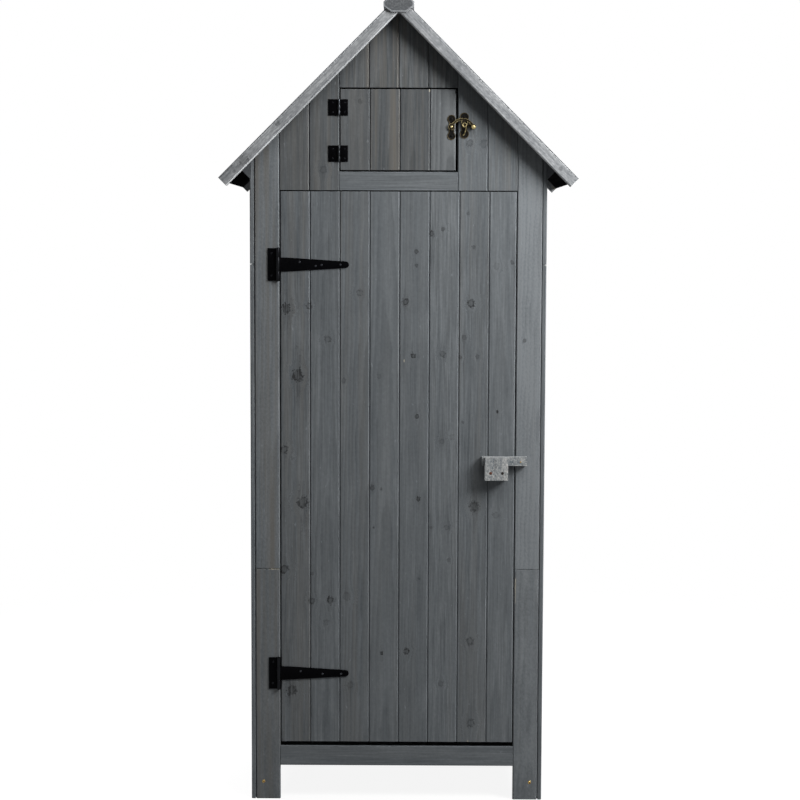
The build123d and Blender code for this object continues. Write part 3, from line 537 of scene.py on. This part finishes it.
def pressed(nodes, finish, body, name, soften=0.35, rim=0.0, rubbed=1.0, bared=(), barrel=(),
            highlight_finishes=()):
    """CAD nodes of sheet or metal as one piece, with their edges rounded and their curves smooth.
    With a rim, in mm, the faces to the front are sunk inside a raised border of that width.  Edges
    are marked as rubbed by the given share, and faces in front of the plates and within the radius
    of a bared spot (x, z, radius) altogether.  Knuckles rolled round the upright axis of a barrel
    (x, y, radius) take the given finishes, from the lowest up, as painted highlights."""
    plates_y, knuckle_slack = -238.0, 0.2
    flat_angle, bend_angle = math.radians(0.5), math.radians(42)
    work = bmesh.new()
    for node in nodes:
        work.from_mesh(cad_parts[node].data)
    bmesh.ops.remove_doubles(work, verts=work.verts, dist=seam_gap)
    bmesh.ops.dissolve_limit(work, angle_limit=flat_angle, verts=work.verts, edges=work.edges)
    edge = work.faces.layers.float.new("edge")
    if rim:
        slope, sink = rim / 6000, rim / 2000
        fronts = [f for f in work.faces if f.normal.y < -0.99]
        border = bmesh.ops.inset_region(work, faces=fronts, thickness=rim / 1000,
                                        use_even_offset=True)["faces"]
        bmesh.ops.inset_region(work, faces=fronts, thickness=slope, depth=-sink,
                               use_even_offset=True)
        for f in border:
            f[edge] = rubbed
    rims = [e for e in work.edges if e.is_manifold and e.calc_face_angle() > crease]
    rounded = bmesh.ops.bevel(work, geom=rims, offset=soften / 1000, segments=2, profile=0.5,
                              affect="EDGES", clamp_overlap=True)
    for f in rounded["faces"]:
        f[edge] = rubbed
    bmesh.ops.dissolve_degenerate(work, dist=sliver, edges=work.edges)
    for x, z, radius in bared:
        for f in work.faces:
            centre = f.calc_center_median() * 1000
            near = math.hypot(centre.x - x, centre.z - z) < radius
            if near and f.normal.y < 0.5 and centre.y < plates_y:
                f[edge] = 1.0
    # Barrel faces take the painted highlight finishes.
    if barrel:
        x, y, radius = barrel
        low, high = (extreme(v.co.z for v in work.verts) for extreme in (min, max))
        for f in work.faces:
            centre = f.calc_center_median()
            if math.hypot(centre.x * 1000 - x, centre.y * 1000 - y) < radius + knuckle_slack:
                f.material_index = 1 + int((centre.z - low) / (high - low) * len(highlight_finishes))
    mesh = bpy.data.meshes.new(name)
    work.to_mesh(mesh)
    work.free()
    mesh.shade_smooth()
    mesh.set_sharp_from_angle(angle=bend_angle)
    for material in (finish, *highlight_finishes):
        mesh.materials.append(material)
    piece = bpy.data.objects.new(name, mesh)
    bpy.context.scene.collection.objects.link(piece)
    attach(piece, body)
    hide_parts(*nodes)


bright_zinc = plated("galvanised_steel", "#a9adb0", "#7c8083", "#5f4630", 0.004, 0.02)
clout_radius, clout_rise, clout_inset, clout_pitch = 4.5, 1.4, 16.0, 82.0
verge_clouts, verge_share = 4, 0.8
for side, lean in (("left", -1), ("right", 1)):
    pressed(["roof_felt_" + side], mineral_felt, "shed", "felt_sheet_" + side,
            soften=0.6)
    low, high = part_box("roof_felt_" + side)
    eave_x = max(abs(low.x), abs(high.x)) * 1000
    half_run = high.y * 1000 - clout_inset
    ridge = (high.z + min(abs(low.x), abs(high.x))) * 1000
    rows = round(2 * half_run / clout_pitch)
    spots = [(eave_x - clout_inset, -half_run + 2 * half_run * k / rows) for k in range(rows + 1)]
    for k in range(1, verge_clouts + 1):
        x = eave_x - clout_inset - k * clout_pitch * verge_share
        spots += [(x, -half_run), (x, half_run)]
    fasteners("felt_clouts_" + side, clout_head, [(lean * x, y, ridge - x) for x, y in spots],
              clout_radius, clout_rise, bright_zinc, "shed", facing=(lean, 0, 1))

# Verge boards and ridge: four square-cut fir boards that close the roof's ends, and an eight-sided
# fir beam along the top.  They stand in the weather, so their stain has gone pale and patchy, and
# the sawn ends have gone dark.  The verges' arrises are painted pale, partly as wear and partly as
# painted highlight, and the right-hand verges are toned darker as painted shade.
pale_fir = stained_fir("weathered_pale_fir", "#616467", "#808284", "#9fa1a2", "#c0c2c4", "#404244",
                       fibrous=1.3, cloudy=0.8, mottled=1.5, fleck=(0.0085, 0.0034), edges=1.2,
                       roughness=0.72)
verge_knots = [(-340, 1443, 9.0, 0.4), (-265, 1523, 4.0, 0.4), (-361, 1420, 3.2, 0.4),
               (357, 1428, 4.0, 0.3)]
verge_nicks = [(384, 1398, 18.0, 6.0, 1.4)]
for end, face in (("front", frontward), ("back", backward)):
    for side, lean in (("left", 1), ("right", -1)):
        # The right-hand verges are toned darker, as painted shade.
        planks(f"verge_board_{end}_{side}", pale_fir, (lean, 0, 1), face,
               tones=[0.0 if side == "left" else -0.12], knots=verge_knots,
               nicks=verge_nicks if end == "back" else ())
planks("ridge_beam", pale_fir, backward, upright, tones=[-0.4], rim=3.6)

# Door: eight matched fir boards nailed from behind to three ledges, with two braces that rise from
# the hinge side.  The knots are where the real boards have them; the nails show on the ledges only.
door_knots = [
    (-254, 801, 7.6, 0.8), (-255, 530, 8.0, 0.8), (-249, 1117, 9.0, 0.8), (-239, 252, 9.6, 0.6),
    (-224, 968, 10.3, 0.7), (-213, 681, 10.7, 0.75), (-199, 1123, 5.8, 0.7), (-236, 781, 3.0, 0.3),
    (-193, 457, 6.2, 0.7), (-160, 408, 5.4, 0.35), (-157, 1049, 6.6, 0.55), (-151, 459, 7.2, 1.0),
    (-191, 519, 3.4, 0.4), (-121, 957, 4.6, 0.4), (-115, 468, 8.0, 0.3), (-106, 264, 6.2, 0.4),
    (-86, 1153, 6.2, 0.5), (-56, 715, 4.6, 0.7), (-53, 625, 2.2, 0.7), (-41, 966, 4.5, 0.25),
    (-37, 713, 2.4, 0.4), (-35, 338, 3.3, 0.8), (17, 1133, 6.2, 0.9), (22, 342, 5.8, 0.9),
    (34, 1013, 4.8, 0.95), (40, 1245, 4.4, 0.8), (41, 1214, 3.4, 0.6), (43, 877, 4.6, 0.85),
    (47, 691, 4.2, 0.9), (49, 509, 2.4, 0.35), (75, 626, 2.7, 0.4), (74, 1285, 5.2, 0.85),
    (99, 1295, 4.0, 0.6), (100, 268, 5.4, 0.4), (99, 821, 4.9, 0.35), (100, 1017, 5.6, 0.6),
    (111, 626, 4.9, 0.4), (116, 552, 4.0, 0.4), (122, 831, 5.4, 0.3), (148, 1054, 4.8, 0.4),
    (155, 1329, 3.0, 0.35), (168, 1255, 3.6, 0.45), (139, 1010, 3.6, 0.5), (178, 1011, 4.2, 0.4),
    (146, 864, 2.6, 0.5), (165, 366, 7.6, 0.6), (168, 178, 8.0, 0.5), (163, 1130, 7.4, 0.95),
    (173, 674, 10.0, 0.55), (222, 654, 6.7, 0.3), (219, 1213, 6.7, 0.3), (223, 888, 3.1, 1.0),
    (254, 1222, 3.6, 0.45),
]
door_nicks = [(162, 134, 11.0, 3.8, 1.4), (14, 1002, 6.7, 2.3, 1.4)]
brace_way = (474, 0, 402)
planks("door_boards", grey_fir, upright, frontward, body="door", knots=door_knots,
       warm=[0.4, 0.1, 0.3, 0.1, 0.15, 0.1, 0.3, 0.1],
       combed=[1.3, 0.9, 0.5, 0.4, 0.65, 1.2, 1.05, 0.9],
       tones=[-0.1, -0.02, -0.06, 0.0, -0.08, 0.0, -0.06, 0.02], nicks=door_nicks)
planks("door_ledges", inner_fir, sideways, frontward, body="door")
planks("door_braces", inner_fir, brace_way, frontward, body="door")
low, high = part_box("door_ledges")
board_count, board_pitch, ledge_height = 8, 66.4, 60.0
nail_row, nail_radius, nail_rise = 16.0, 2.4, 0.9
ledge_mids = [low.z * 1000 + ledge_height / 2, (low.z + high.z) * 500,
              high.z * 1000 - ledge_height / 2]
nail_xs = [(k - (board_count - 1) / 2) * board_pitch for k in range(board_count)]
spots = [(x, high.y * 1000, z + rise) for z in ledge_mids for x in nail_xs
         for rise in (-nail_row, nail_row)]
fasteners("ledge_nails", clout_head, spots, nail_radius, nail_rise, bright_zinc, "door",
          facing=backward)

# T-hinges: 2 mm steel strap and leaf rolled round a 4 mm pin, dipped in matt black paint and
# screwed through the face.  The paint is a little uneven and thin along the edges.  The barrels
# take a dull steel finish as a painted highlight, and the strap's screws a brighter plating as a
# painted glint.
black_steel, t = blank("black_painted_steel")
sag_size, peel_depth = 0.006, 0.0004
place = add(t, "TexCoord").outputs["Object"]
sag = add(t, "TexNoise", {"Vector": place, "Scale": 1 / sag_size, "Detail": 3.0})
black = add(t, "ValToRGB", {0: sag})
black.color_ramp.elements[0].color = linear("#010102")
black.color_ramp.elements[1].color = linear("#050506")
thin = add(t, "Attribute", attribute_name="edge")
thin = add(t, "Math", {0: thin.outputs["Fac"], 1: sag}, operation="MULTIPLY")
black = add(t, "Mix", {0: thin, 6: black, 7: linear("#141416")}, data_type="RGBA")
satin = add(t, "MapRange", {0: sag, 3: 0.42, 4: 0.62})
peel = add(t, "Bump", {"Strength": 0.25, "Distance": peel_depth, "Height": sag})
skin = add(t, "BsdfPrincipled",
           {"Base Color": black.outputs[2], "Roughness": satin, "Normal": peel,
            "Specular IOR Level": 0.015})
add(t, "OutputMaterial", {"Surface": skin})
# Black zinc screws in two copies: the strap's brighter as a painted glint, the others darker as
# painted shade.
black_zinc_painted_glint = plated("black_zinc_painted_glint_steel", "#3c3e42", "#101113", "#16120f", 0.0012, 0.0,
                    roughness=0.34)
dark_zinc = plated("dark_zinc_steel", "#1b1c1e", "#0b0b0d", "#16120f", 0.0012, 0.0, roughness=0.34)
# The barrels' dull steel is a painted highlight on the black paint.
faint_highlight_barrel = plated("faint_highlight_barrel_steel", "#1e1f21", "#0d0d0f", "#16120f", 0.006, 0.0)
tee_barrel = (-267.3, -239.4, 4.0)
for level in ("lower", "upper"):
    for part, body in (("leaf", "shed"), ("strap", "door")):
        pressed([f"tee_hinge_{part}_{level}"], black_steel, body,
                f"tee_{part}_{level}", barrel=tee_barrel, highlight_finishes=[faint_highlight_barrel])
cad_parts["tee_hinge_pins"].material_slots[0].material = black_steel
plate_y, tee_radius, tee_rise = -237.0, 2.5, 0.9
leaf_screws = [(-281.8, 1240), (-281.9, 1190.5), (-279.8, 317), (-281.3, 268)]
strap_screws = [(-219.3, 1221), (-183.5, 1212.4), (-170.4, 1214.6), (-128.2, 1215.4), (-218.2, 296),
                (-168.5, 290), (-126.6, 290)]
for name, screws, finish, body in (("tee_leaf_screws", leaf_screws, dark_zinc, "shed"),
                                   ("tee_strap_screws", strap_screws, black_zinc_painted_glint, "door")):
    fasteners(name, screw_head, [(x, plate_y, z) for x, z in screws], tee_radius, tee_rise, finish,
              body)

# Latch: a block of the same fir screwed to the door, and the bolt that slides behind its lip.  Both
# are rubbed pale, mottled and pitted, and their two screws and one nail have rusted.
worn_fir = stained_fir("rubbed_latch_fir", "#4a5258", "#7d8081", "#a8a7a4", "#b5b6b5", "#6c6e6f",
                       cloudy=0.5, mottled=1.9, fleck=(0.0036, 0.0030), pitted=0.35, roughness=0.74)
planks("latch_block", worn_fir, upright, frontward, body="door",
       tones=[0.15], knots=[])
planks("latch_bolt", worn_fir, sideways, frontward, body="bolt", tones=[0.0],
       knots=[])
rusted_steel = plated("rusted_steel", "#4a3428", "#1c1511", "#532c1c", 0.0035, 0.34)
burnt_steel = plated("blackened_steel", "#1c1613", "#0c0908", "#17100c", 0.0035, 0.34)
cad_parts["latch_stud"].material_slots[0].material = bright_zinc
latch_z, latch_radius, latch_rise = 753.0, 3.4, 0.8
bolt_x, bolt_z, bolt_radius = 275.4, 777.0, 1.7
block_y, bolt_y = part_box("latch_block")[0].y * 1000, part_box("latch_bolt")[0].y * 1000
for side, x, finish in (("left", 208.0, rusted_steel), ("right", 234.3, burnt_steel)):
    fasteners("latch_screw_" + side, screw_head, [(x, block_y, latch_z)], latch_radius, latch_rise,
              finish, "door")
fasteners("bolt_nail", clout_head, [(bolt_x, bolt_y, bolt_z)], bolt_radius, latch_rise, yellow_zinc,
          "bolt")

# Hatch: four matched fir boards, the second with brown heartwood in it, nailed from behind to two
# battens.  A bump on the top edge has bared the timber.
hatch_knots, hatch_nicks = [(-85, 1574, 4.9, 0.5)], [(68, 1600, 9.0, 3.1, 1.4)]
planks("hatch_boards", heart_fir, upright, frontward, body="hatch", knots=hatch_knots, rings=0.25,
       warm=[0.4, 0.9, 0.3, 0.1], combed=[1.0, 1.0, 1.5, 0.35], tones=[0.03, 0.02, -0.15, 0.46],
       nicks=hatch_nicks)
planks("hatch_battens", inner_fir, sideways, frontward, body="hatch")

# Butt hinges: pressed steel leaves on a thin pin, painted black as the others, with two screws in
# each leaf.  The fixed leaves are on the gable and the flaps on the hatch.  The barrels take a grey
# metal finish as a painted highlight, the upper one brighter.
# Two barrel finishes as painted highlights: dimmer on the lower barrel, brighter on the upper.
dim_highlight_barrel = plated("dim_highlight_barrel_steel", "#2b2d2f", "#1c1d1f", "#1c1814", 0.006, 0.0)
bright_highlight_barrel = plated("bright_highlight_barrel_steel", "#37393d", "#252729", "#3a3026", 0.006, 0.0)
butt_barrel = (-131.6, -237.9, 2.5)
for part, body in (("leaves", "shed"), ("flaps", "hatch")):
    pressed(["hatch_hinge_" + part], black_steel, body, "butt_" + part,
            barrel=butt_barrel, highlight_finishes=[dim_highlight_barrel, bright_highlight_barrel])
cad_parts["hatch_hinge_pins"].material_slots[0].material = black_steel
low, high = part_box("hatch_hinge_flaps")
butt_height, butt_plate_y = 36.0, -236.2
screw_spread, butt_radius, butt_rise = 10.5, 2.2, 0.7
butt_mids = [low.z * 1000 + butt_height / 2, high.z * 1000 - butt_height / 2]
for name, x, body in (("butt_leaf_screws", -145.5, "shed"), ("butt_flap_screws", -119.5, "hatch")):
    spots = [(x, butt_plate_y, z + rise) for z in butt_mids
             for rise in (-screw_spread, screw_spread)]
    fasteners(name, screw_head, spots, butt_radius, butt_rise, dark_zinc, body)

# Hook clasp: a cast plate on the hatch with the hook riveted to it, and one on the gable with the
# stud it drops over.  Brass plated and blackened to look old.  The hook's borders, the ball, the
# rivet and the eye on the stud are rubbed bright again.


def old_brass(name, dark, bright, bared):
    """Blackened brass: near black in the hollows and dull gold where the metal is bare."""
    finish, t = blank(name)
    tarnish_size, cast_depth = 0.0035, 0.0004
    place = add(t, "TexCoord").outputs["Object"]
    tarnish = add(t, "TexNoise", {"Vector": place, "Scale": 1 / tarnish_size, "Detail": 3.0})
    bare = add(t, "Attribute", attribute_name="edge")
    bare = add(t, "Math", {0: bare.outputs["Fac"], 1: 0.62, 2: tarnish}, operation="MULTIPLY_ADD")
    bare = add(t, "MapRange", {0: bare, 1: 0.62, 2: 1.12, 4: bared})
    brass = add(t, "Mix", {0: bare, 6: linear(dark), 7: linear(bright)}, data_type="RGBA")
    dull = add(t, "MapRange", {0: bare, 3: 0.62, 4: 0.28})
    cast = add(t, "Bump", {"Strength": 0.3, "Distance": cast_depth, "Height": tarnish})
    skin = add(t, "BsdfPrincipled",
               {"Base Color": brass.outputs[2], "Metallic": bare, "Roughness": dull, "Normal": cast,
                "Specular IOR Level": 0.08})
    add(t, "OutputMaterial", {"Surface": skin})
    return finish


black_brass = old_brass("blackened_brass", "#090806", "#5f5238", 0.45)
bright_brass = plated("bright_brass", "#cfc295", "#9c8f63", "#5a4b2c", 0.003, 0.0)
aged_brass = old_brass("aged_brass", "#15110b", "#a3956c", 1.0)
clasp_face, clasp_drop, ball_radius, bare_radius = -236.2, 1.0, 6.0, 6.4
lug_rise, lug_radius, lug_head, rivet_radius, rivet_rise = 18.5, 3.0, 0.8, 2.4, 1.1
low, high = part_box("hook_plate")
pivot_x, plate_z = (low.x + high.x) * 500, (low.z + high.z) * 500
low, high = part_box("hook_catch")
catch_x, catch_z, stud_y = (low.x + high.x) * 500, (low.z + high.z) * 500 + clasp_drop, low.y * 1000
pivot_z = plate_z + clasp_drop
ball_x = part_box("hook")[1].x * 1000 - ball_radius
rivet_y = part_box("hook_plate")[0].y * 1000
for part, body in (("catch", "shed"), ("plate", "hatch")):
    pressed(["hook_" + part], black_brass, body, "clasp_" + part, soften=0.25,
            rim=1.0)
pressed(["hook"], aged_brass, "hook", "clasp_hook", soften=0.3, rim=0.9, rubbed=0.5,
        bared=[(ball_x, pivot_z, bare_radius)])
fasteners("clasp_rivet", rivet_head, [(pivot_x, rivet_y, pivot_z)], rivet_radius, rivet_rise,
          bright_brass, "hatch")
for part, x, z, body in (("catch", catch_x, catch_z - clasp_drop, "shed"),
                         ("plate", pivot_x, plate_z, "hatch")):
    spots = [(x, clasp_face, z + rise) for rise in (-lug_rise, lug_rise)]
    fasteners(f"clasp_{part}_screws", screw_head, spots, lug_radius, lug_head, black_brass, body)
eye_radius, eye_steps, tail_steps, wire_radius, eye_bare = 4.2, 20, 8, 0.0013, 0.6
tail_bends = [(catch_x + x, catch_z + z) for x, z in ((4.0, -2.6), (2.6, -18.0), (-2.6, -23.0))]
tail_y = clasp_face - 1.0
bow = bpy.data.curves.new("clasp_eye", "CURVE")
bow.dimensions, bow.use_fill_caps = "3D", True
bow.bevel_depth, bow.bevel_resolution = wire_radius, 3
turns = [2 * math.pi * k / eye_steps for k in range(eye_steps)]
eye_ring = [(catch_x + eye_radius * math.cos(a), stud_y, catch_z + eye_radius * math.sin(a))
            for a in turns]
tail = []
for k in range(tail_steps + 1):
    u = k / tail_steps
    x, z = ((1 - u) ** 2 * a + 2 * u * (1 - u) * b + u * u * c for a, b, c in zip(*tail_bends))
    tail.append((x, stud_y + u ** 0.5 * (tail_y - stud_y), z))
for path, closed in ((eye_ring, True), (tail, False)):
    line = bow.splines.new("POLY")
    line.points.add(len(path) - 1)
    line.use_cyclic_u = closed
    for point, place in zip(line.points, path):
        point.co = [c / 1000 for c in place] + [1.0]
eye = bpy.data.objects.new("clasp_eye_curve", bow)
mesh = bpy.data.meshes.new_from_object(eye)
bpy.data.objects.remove(eye)
worn = mesh.attributes.new("edge", "FLOAT", "FACE")
worn.data.foreach_set("value", [eye_bare] * len(mesh.polygons))
mesh.materials.append(aged_brass)
mesh.shade_smooth()
piece = bpy.data.objects.new("clasp_eye", mesh)
bpy.context.scene.collection.objects.link(piece)
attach(piece, "shed")

# Studio: a white paper floor that keeps the shed's shadow close round it and fades to plain white
# further out, a soft box high on the right, a weaker one above it, and cards behind the front's
# plane that light the other sides.
scene = bpy.context.scene
floor_reach, shadow_start, shadow_end = 30.0, 0.9, 2.4
floor_glow, floor_seen, floor_unseen, room_light = 0.9, 0.95, 0.28, 0.10
floor_mesh = bpy.data.meshes.new("studio_floor")
corners = [(x * floor_reach, y * floor_reach, 0) for x, y in ((-1, -1), (1, -1), (1, 1), (-1, 1))]
floor_mesh.from_pydata(corners, [], [(0, 1, 2, 3)])
floor = bpy.data.objects.new("studio_floor", floor_mesh)
scene.collection.objects.link(floor)
paper, paper_tree = blank("white_paper_floor")
world = bpy.data.worlds.new("white_room")
scene.world = world
world.use_nodes = True
world.node_tree.nodes.clear()
for t in (paper_tree, world.node_tree):
    ray = add(t, "LightPath")
    seen = add(t, "Math", {0: ray.outputs["Is Camera Ray"], 1: ray.outputs["Is Glossy Ray"]},
               operation="MAXIMUM")
    seen = add(t, "Math", {0: seen, 1: ray.outputs["Is Transmission Ray"]}, operation="MAXIMUM")
    if t is paper_tree:
        place = add(t, "TexCoord").outputs["Object"]
        away = add(t, "VectorMath", {0: place}, operation="LENGTH").outputs["Value"]
        share = add(t, "MapRange", {0: away, 1: shadow_start, 2: shadow_end, 3: floor_glow, 4: 1.0},
                    **smooth)
        share = add(t, "Math", {0: share, 1: seen}, operation="MULTIPLY")
        shade = add(t, "MapRange", {0: seen, 3: floor_unseen, 4: floor_seen})
        matt = add(t, "BsdfDiffuse", {"Color": shade})
        glow = add(t, "Emission", {"Color": (1, 1, 1, 1), "Strength": 1.0})
        skin = add(t, "MixShader", {0: share, 1: matt, 2: glow})
        add(t, "OutputMaterial", {"Surface": skin})
    else:
        level = add(t, "MapRange", {0: seen, 3: room_light, 4: 1.0})
        air = add(t, "Background", {"Color": (1, 1, 1, 1), "Strength": level})
        add(t, "OutputWorld", {"Surface": air})
floor_mesh.materials.append(paper)
for name, spot, aim, width, power in (
    ("soft_box", (1.66, -1.25, 2.08), (0.0, -0.2, 1.0), 0.85, 76.5),
    ("top_box", (0.7, -1.25, 3.05), (0.0, -0.2, 1.0), 0.85, 31.5),
    ("left_card", (-2.4, 1.1, 3.4), (-0.3, 0.1, 0.8), 1.8, 170.0),
    ("back_card", (0.6, 3.4, 2.6), (0.0, 0.2, 0.9), 2.2, 150.0),
):
    lamp = bpy.data.lights.new(name, "AREA")
    lamp.size, lamp.energy = width, power
    stand = bpy.data.objects.new(name, lamp)
    stand.location = spot
    stand.rotation_euler = (Vector(aim) - Vector(spot)).to_track_quat("-Z", "Y").to_euler()
    scene.collection.objects.link(stand)

# Camera: a long lens at the height of the door's top third, a good four metres away and turned down
# five degrees, as the photograph was taken.
camera_place, camera_turns = (0.02437, -4.35878, 1.27565), (5.0146, -0.2677, 0.1909)
lens = bpy.data.cameras.new("camera")
lens.lens, lens.sensor_width = 83.23, 36.0
camera = bpy.data.objects.new("camera", lens)
pitch, yaw, roll = (math.radians(a) for a in camera_turns)
ahead = Vector((math.sin(yaw) * math.cos(pitch), math.cos(yaw) * math.cos(pitch), -math.sin(pitch)))
level_right = Vector((math.cos(yaw), -math.sin(yaw), 0))
level_up = level_right.cross(ahead)
right = level_right * math.cos(roll) + level_up * math.sin(roll)
up = level_up * math.cos(roll) - level_right * math.sin(roll)
turned = Matrix((right, up, -ahead)).transposed().to_4x4()
camera.matrix_world = Matrix.Translation(camera_place) @ turned
scene.collection.objects.link(camera)
scene.camera = camera
scene.view_settings.view_transform = "Standard"
